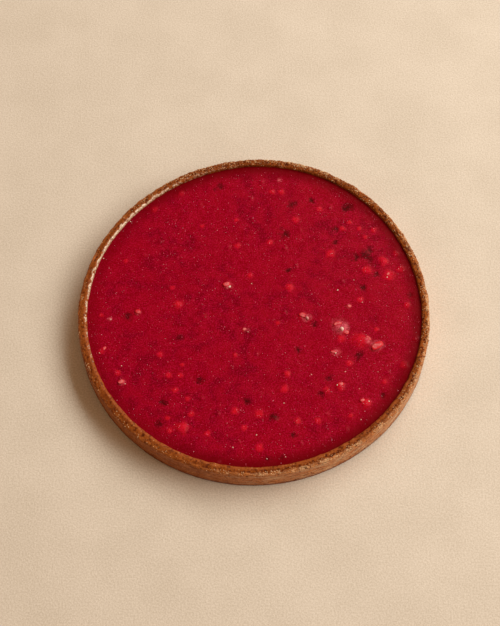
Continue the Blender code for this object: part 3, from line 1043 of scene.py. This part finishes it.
# Each kind is its layer, its bits, their swelling, their noise, their core and their raggedness.
bit_kinds = (
    ("pink_bit", PINK_BITS, 0.10 * MM, 31, 0.35, 0.45),
    ("red_bit_and_painted_glow", [*RED_BITS, *painted_almond_glows], 0.28 * MM, 32, 0.35, 0.45),
    ("dark_bit", DARK_BITS, -0.12 * MM, 33, 0.05, 0.80),
)
filling_work = filling_disc()
points_tree = near_points(filling_work)
raise_top(filling_work, points_tree)
for kind in bit_kinds:
    colour_bits(filling_work, points_tree, *kind)
close_below(filling_work)
print("filling:", len(filling_work.verts), "points")

# %% [markdown]
# Pink praline toffee is a deep crimson that takes its colour all the way through, with a soft wet gloss. Its
# grain is ground almond: countless fine specks just under the skin, some lighter and some darker than the
# toffee. Subsurface scattering could give the depth, but it is lost when a model leaves Blender, so the depth
# is drawn as colour: cloudy crimson, the soft-edged bits that were marked on the mesh, a painted glow round
# the almond slivers on the side away from the lamp, dust for the specks, and a painted shade near the wall,
# where the wall keeps light off the toffee, that thins out at the left.

# %% The praline toffee
CRIMSON = (0.312, 0.0001, 0.0125, 1.0)
CRIMSON_PURE = (0.342, 0.0001, 0.0095, 1.0)
CRIMSON_BRIGHT = (0.400, 0.0004, 0.0130, 1.0)
CRIMSON_DEEP = (0.190, 0.0002, 0.0066, 1.0)
# the toffee's colour in the painted shade along the wall
CRIMSON_PAINTED_WALL_SHADE = (0.165, 0.0002, 0.0036, 1.0)
# red of the bits, also the colour of the painted glow round the almonds
BIT_RED_AND_GLOW = (0.720, 0.0080, 0.0230, 1.0)
BIT_DEEP = (0.094, 0.0008, 0.0020, 1.0)
BIT_DARK = (0.030, 0.0040, 0.0020, 1.0)
BIT_PINK = (0.760, 0.1350, 0.1900, 1.0)
DUST_DEEP = (0.170, 0.0002, 0.0060, 1.0)
DUST_RED = (0.540, 0.0065, 0.0720, 1.0)
PAINTED_SHADE_THINS_TOWARDS = math.radians(190)


def make_toffee():
    material, tree, shader, place = new_material("praline_cream_fine")
    clouds = tone(tree, place, 30 * MM, 3.0, 0.35)
    murk = tone(tree, place, 8 * MM, 4.0, 0.30)
    veins = tone(tree, place, 1.6 * MM, 2.0, 0.3)
    dust = tone(tree, place, 0.8 * MM, 1.0, 0.3)
    murky = product(tree, remap(tree, murk, 0.5, 0.0), remap(tree, clouds, 0.8, 0.2, 0.15, 0.70))
    dark = attribute(tree, "dark_bit")
    pink = product(tree, attribute(tree, "pink_bit"), remap(tree, veins, 0.1, 0.9, 0.25, 0.95))
    dusty_where = remap(tree, dark, 0.0, 1.0, 1.0, 0.3)
    # painted shade near the wall, where the wall keeps light off the toffee; weaker towards the left
    painted_wall_shade = remap(tree, attribute(tree, "inward"), 12 * MM, 0.0)
    painted_shade_strength = remap(tree, far_along(tree, place, PAINTED_SHADE_THINS_TOWARDS), 0.2, 0.9, 1.0, 0.55)
    colour = layered(
        tree, CRIMSON,
        (clouds, CRIMSON_PURE),
        (murky, CRIMSON_DEEP),
        (remap(tree, murk, 0.6, 1.0, 0.0, 0.5), CRIMSON_BRIGHT),
        # red bits, and the painted glow round the almonds
        (product(tree, attribute(tree, "red_bit_and_painted_glow"), 0.9), BIT_RED_AND_GLOW),
        (product(tree, dark, 0.9), BIT_DEEP),
        (pink, BIT_PINK),
        (product(tree, dark, remap(tree, veins, 0.75, 0.35, 0.0, 0.75)), BIT_DARK),
        (remap(tree, dust, 0.45, 0.0, 0.0, 0.45), DUST_DEEP),
        (product(tree, remap(tree, dust, 0.6, 1.0, 0.0, 0.55), dusty_where), DUST_RED),
        # the painted shade along the wall
        (product(tree, painted_wall_shade, painted_shade_strength), CRIMSON_PAINTED_WALL_SHADE),
    )
    plug_all(tree, {
        "Base Color": colour,
        "Roughness": remap(tree, murk, 0.0, 1.0, 0.24, 0.34),
        "Specular IOR Level": 0.055,
        "Normal": grain_normal(tree, effect(tree, "grain", Place=place, Size=1.1 * MM), 0.10 * MM),
    }, shader)
    return material


praline_surface = finished_piece("praline_surface", filling_work, make_toffee())
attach(praline_surface, "root")
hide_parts("praline_filling")

# %% [markdown]
# What makes this tart sparkle is loose grain: crumbs of sugared almond in the toffee, some bigger nibs that
# poke out of it, and baked crumbs along the rim. They are real geometry, because a bright point that is only
# painted doesn't catch the light from the side. Particles could scatter them, but a plain mesh of small
# twenty-sided spheres travels anywhere. One bmesh gets slow as it grows, so they are made in small batches.

# %% Scatter small grains
BATCH = 100


def grain_matrix(place, chance):
    """Turn a grain at random, and squash it a little, so that no two look alike."""
    turn = Matrix.Rotation(chance.uniform(0, math.tau), 4, Vector((chance.random(), chance.random(), 1.0)))
    squash = Matrix.Diagonal((1.0, chance.uniform(0.65, 1.0), chance.uniform(0.6, 0.9), 1.0))
    return Matrix.Translation(place) @ turn @ squash


def joined_grains(spots, chance):
    """One bmesh that holds a small sphere for every (place, radius)."""
    whole = bmesh.new()
    for start in range(0, len(spots), BATCH):
        batch = bmesh.new()
        for place, radius in spots[start:start + BATCH]:
            matrix = grain_matrix(place, chance)
            bmesh.ops.create_icosphere(batch, subdivisions=1, radius=radius, matrix=matrix)
        mesh = bpy.data.meshes.new("batch")
        batch.to_mesh(mesh)
        batch.free()
        whole.from_mesh(mesh)
        bpy.data.meshes.remove(mesh)
    return whole


def scattered(places, radii, chance):
    """Each place with a radius that is drawn between two, in mm."""
    return [(place, chance.uniform(*radii) * MM) for place in places]


def make_grain_material(name, deep, pale, share, roughness):
    """Grains of two colours; share is how many of them are pale."""
    material, tree, shader, place = new_material(name)
    some = effect(tree, "dots", Place=place, Spacing=3 * MM, Share=share, Dot=1.5)
    faded = product(tree, tone(tree, place, 2 * MM, 1.0, 0.3), 0.5)
    colour = layered(tree, deep, (some, pale), (faded, deep))
    plug_all(tree, {"Base Color": colour, "Roughness": roughness}, shader)
    return material


print("grains are made", BATCH, "at a time")

# %% [markdown]
# The almond grains lie anywhere on the filling, so they are dropped on points of its mesh that are drawn by
# chance, and sink half in. Most are as fine as salt. The nibs have their own list.

# %% Almond grains on the filling
FINE_GRAINS = 2250
FINE_RADII = (0.13, 0.25)
COARSE_GRAINS = 150
COARSE_RADII = (0.24, 0.38)
STUCK_RADII = (0.20, 0.36)
BARE_EDGE = 1.5 * MM
GRAIN_SEED = 11
NIB_LIFT = -0.12
SPARKLING_BIT = 4
SUGAR_PINK = (0.98, 0.140, 0.270, 1.0)
SUGAR_PALE = (1.00, 0.510, 0.700, 1.0)
ALMOND_PINK = (0.84, 0.370, 0.390, 1.0)
ALMOND_CREAM = (0.92, 0.780, 0.690, 1.0)


def top_places(mesh, count, chance):
    """Places on the filling's top, away from its very edge, drawn by chance."""
    inward = mesh.attributes["inward"].data
    open_points = [point.co.copy() for point in mesh.vertices if inward[point.index].value > BARE_EDGE]
    return [chance.choice(open_points) for _ in range(count)]


def resting_place(mesh, x, y):
    """The point on the filling's skin over a place that is given in mm from the middle."""
    spot = Vector((x, y)) * MM
    nearest = points_tree.find((spot.x, spot.y, 0.0))[1]
    return Vector((spot.x, spot.y, mesh.vertices[nearest].co.z))


def bit_sparkles(mesh, chance):
    """One or two grains that stick to each larger red bit, as (place, radius)."""
    sparkles = []
    for x, y, width in RED_BITS:
        if width < SPARKLING_BIT:
            continue
        aside = width / 4
        for _ in range(chance.randint(1, 2)):
            across, along = (chance.uniform(-aside, aside) for _ in range(2))
            spot = resting_place(mesh, x + across, y + along)
            sparkles += scattered([spot], STUCK_RADII, chance)
    return sparkles


grain_chance = random.Random(GRAIN_SEED)
filling_mesh = praline_surface.data
fine_spots = scattered(top_places(filling_mesh, FINE_GRAINS, grain_chance), FINE_RADII, grain_chance)
coarse_spots = scattered(top_places(filling_mesh, COARSE_GRAINS, grain_chance), COARSE_RADII, grain_chance)
nib_spots = [
    (resting_place(filling_mesh, x, y) + Vector((0, 0, width * MM * NIB_LIFT)), width * MM / 2)
    for x, y, width in NIBS
]
sugar_spots = fine_spots + coarse_spots + bit_sparkles(filling_mesh, grain_chance)
sugar = make_grain_material("sugar_grains", SUGAR_PINK, SUGAR_PALE, 0.3, 0.22)
almond = make_grain_material("almond_nibs", ALMOND_PINK, ALMOND_CREAM, 0.6, 0.3)
sugar_grains = finished_piece("sugar_grains", joined_grains(sugar_spots, grain_chance), sugar, False)
almond_nibs = finished_piece("almond_nibs", joined_grains(nib_spots, grain_chance), almond)
for piece in (sugar_grains, almond_nibs):
    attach(piece, "root")

# %% [markdown]
# The largest pieces are slivers of almond that lie flat and just break the skin. Syrup has crept up their
# sides, so each is pale on top and fades to red where it goes under. Each starts as a small ball that is
# stretched, turned and roughened, and its points note how high they sit on it, for the colour to fade by.

# %% Almond pieces that break the skin
ALMOND_FLATNESS = 0.14
ALMOND_SWELL = 1.15
ALMOND_ROUGHNESS = 0.30
ALMOND_BUMP = 0.8
PIECE_PALE = (0.80, 0.215, 0.235, 1.0)
PIECE_PINK = (0.62, 0.058, 0.098, 1.0)


def make_almond(work, almond):
    """One stretched, uneven ball with its middle at the skin."""
    x, y, length, width, turn = almond
    middle = resting_place(praline_surface.data, x, y)
    made = bmesh.ops.create_icosphere(work, subdivisions=3, radius=1.0)["verts"]
    rise = work.verts.layers.float["rise"]
    for vertex in made:
        vertex[rise] = vertex.co.z
        vertex.co *= 1 + ALMOND_ROUGHNESS * bumps(vertex.co + middle / MM, ALMOND_BUMP, 44)
    size = Vector((length / 2, width / 2, width / 2 * ALMOND_FLATNESS)) * ALMOND_SWELL * MM
    bmesh.ops.scale(work, verts=made, vec=size)
    bmesh.ops.rotate(work, verts=made, matrix=Matrix.Rotation(math.radians(turn), 3, "Z"))
    bmesh.ops.translate(work, verts=made, vec=middle)


def make_almond_material():
    material, tree, shader, place = new_material("almond_pieces")
    veins = tone(tree, place, 1.8 * MM, 2.0, 0.35)
    ragged = combine(tree, "ADD", attribute(tree, "rise"), product(tree, veins, 0.3))
    colour = layered(tree, PIECE_PINK, (veins, PIECE_PALE), (remap(tree, ragged, 1.1, 0.5), BIT_RED_AND_GLOW))
    plug_all(tree, {"Base Color": colour, "Roughness": 0.32, "Specular IOR Level": 0.2}, shader)
    return material


almond_work = bmesh.new()
almond_work.verts.layers.float.new("rise")
for almond_place in ALMONDS:
    make_almond(almond_work, almond_place)
almond_pieces = finished_piece("almond_pieces", almond_work, make_almond_material())
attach(almond_pieces, "root")

# %% [markdown]
# Crumbs cling to the knife cut where the dough broke, most of all along its outer edge. Each is dropped on a
# point of the shell's own mesh, so that it follows every chip and roll of the rim.

# %% Crumbs on the rim
RIM_CRUMBS = 3600
CRUMB_RADII = (0.20, 0.46)
CRUMBS_FROM = HEIGHT - 1.4 * MM
INNER_EDGE = LIP_RADIUS + 0.2 * MM
OUTER_EDGE = EDGE_RADIUS - 0.8 * MM
OUTER_CHANCE = 0.65
CRUMB_SEED = 12
CRUMB_BROWN = (0.34, 0.105, 0.022, 1.0)
CRUMB_CREAM = (0.86, 0.585, 0.335, 1.0)


def rim_places(mesh, count, chance):
    """Places on the rim's cut, most of them near its outer edge."""
    near_edge = []
    on_cut = []
    for point in mesh.vertices:
        x, y, z = point.co
        reach = math.hypot(x, y) - out_of_round(math.atan2(y, x))
        inner = INNER_EDGE - ROUGH_INWARD * rough_inside(point.co)
        if z > CRUMBS_FROM and reach > inner and chance.random() < crumbly(point.co):
            on_cut.append(point.co.copy())
            if reach > OUTER_EDGE:
                near_edge.append(point.co.copy())
    return [chance.choice(near_edge if chance.random() < OUTER_CHANCE else on_cut) for _ in range(count)]


crumb_chance = random.Random(CRUMB_SEED)
crumb_spots = scattered(rim_places(crust_shell.data, RIM_CRUMBS, crumb_chance), CRUMB_RADII, crumb_chance)
crumbs = make_grain_material("baked_crumbs", CRUMB_BROWN, CRUMB_CREAM, 0.55, 0.35)
rim_crumbs = finished_piece("rim_crumbs", joined_grains(crumb_spots, crumb_chance), crumbs, False)
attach(rim_crumbs, "root")
